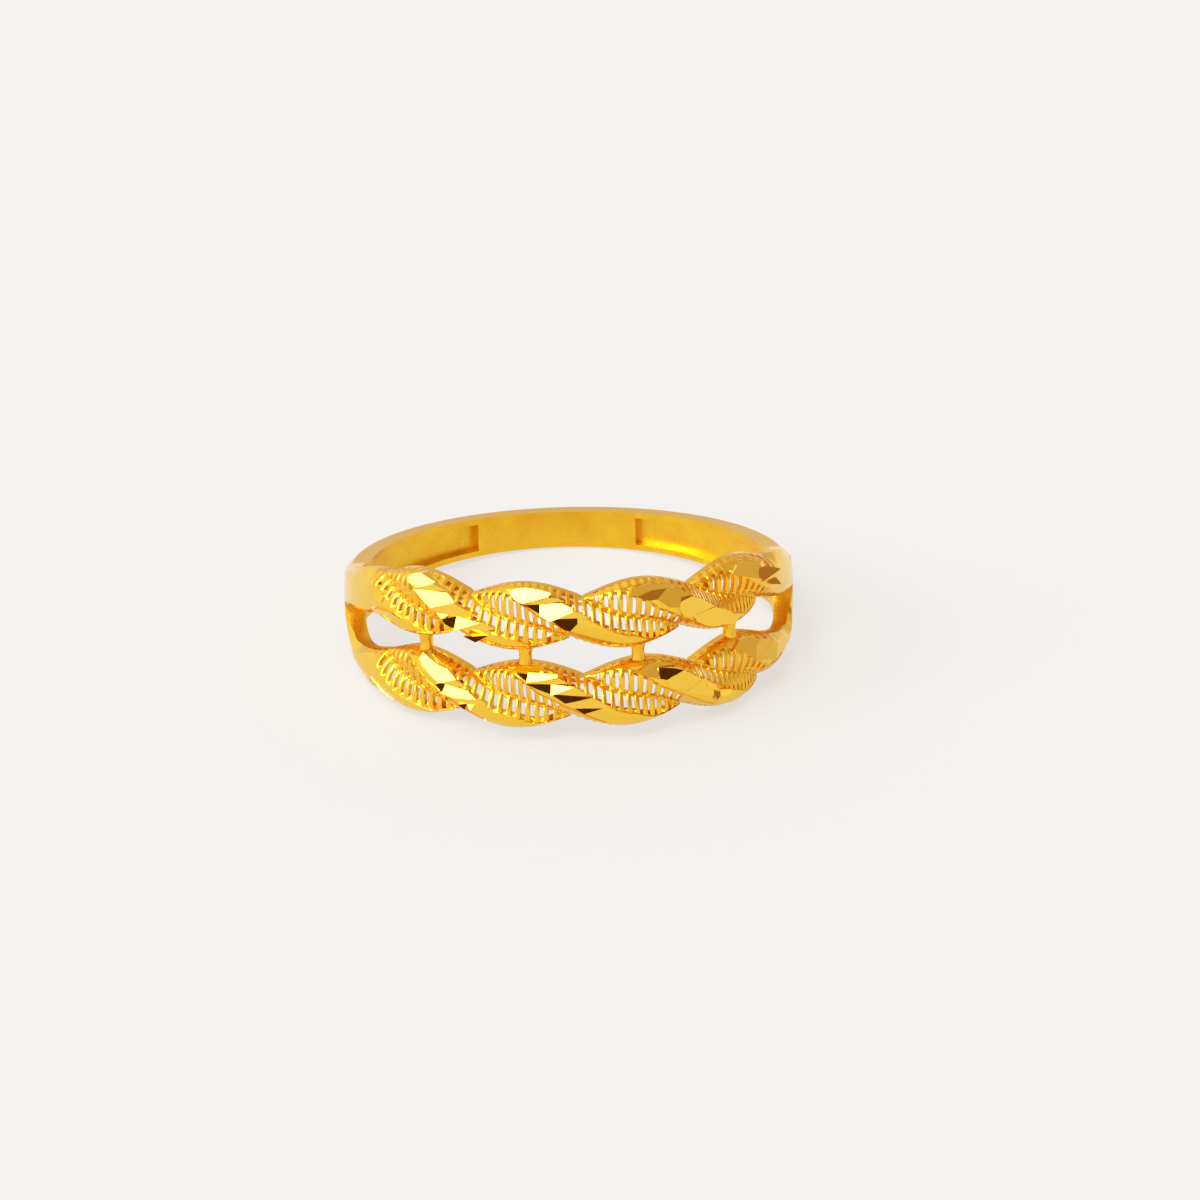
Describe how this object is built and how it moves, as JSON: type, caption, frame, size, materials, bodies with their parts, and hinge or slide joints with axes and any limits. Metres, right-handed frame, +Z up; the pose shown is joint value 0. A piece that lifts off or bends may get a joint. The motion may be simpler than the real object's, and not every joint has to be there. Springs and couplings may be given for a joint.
{
  "type": "twist finger ring",
  "caption": "Gold finger ring whose front is two pierced, diamond-cut rope rows joined by small posts, with forked shoulders and a plain hollowed shank.",
  "frame": {"origin": "middle of the base of the ring's box, on the surface that the ring lies on", "axes": "+Z up from that surface, +Y from the pierced front to the plain back, +X to the right seen from the front; the finger hole's axis leans 9.2 degrees from +Z towards +Y"},
  "size_m": [0.0196, 0.0198, 0.007],
  "materials": {
    "gold": "polished and diamond-cut cast gold of 22 carat"
  },
  "bodies": {
    "root": {"twist_ring": "gold"}
  },
  "joints": []
}
